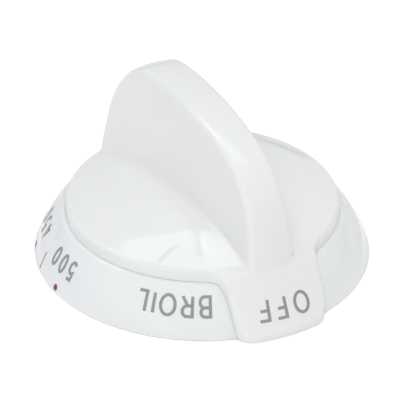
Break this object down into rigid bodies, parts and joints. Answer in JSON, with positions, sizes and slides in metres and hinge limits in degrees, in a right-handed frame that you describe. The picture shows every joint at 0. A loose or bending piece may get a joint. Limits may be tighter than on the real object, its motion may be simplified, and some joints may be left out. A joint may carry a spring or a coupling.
{
  "type": "oven thermostat knob",
  "caption": "White oven thermostat knob: a domed cap with a sail-shaped grip and an OFF tongue over a conical dial skirt that turns to calibrate the scale.",
  "frame": {"origin": "on the knob's axis in the plane of the dial skirt's back edge", "axes": "+Z along the knob's axis out of its front; +Y towards the OFF tongue; +X to the right when the knob is seen from the front with OFF at the top"},
  "size_m": [0.0632, 0.0652, 0.0335],
  "materials": {
    "handle_plastic": "gloss",
    "skirt_plastic": "gloss",
    "plated_steel": "zinc plated",
    "screw_steel": "zinc plated",
    "spring_steel": "polished"
  },
  "bodies": {
    "handle": {"knob_handle": "handle_plastic", "clamp_plate": "plated_steel", "clamp_screw_left": "screw_steel", "clamp_screw_right": "screw_steel", "stem_spring": "spring_steel"},
    "skirt": {"dial_skirt": "skirt_plastic"}
  },
  "joints": [
    {"name": "skirt_calibration", "type": "hinge", "parent": "handle", "child": "skirt", "pos_m": [0, 0, 0.0084], "axis": [0, 0, 1], "range_deg": [-11.2, 11.2]}
  ]
}
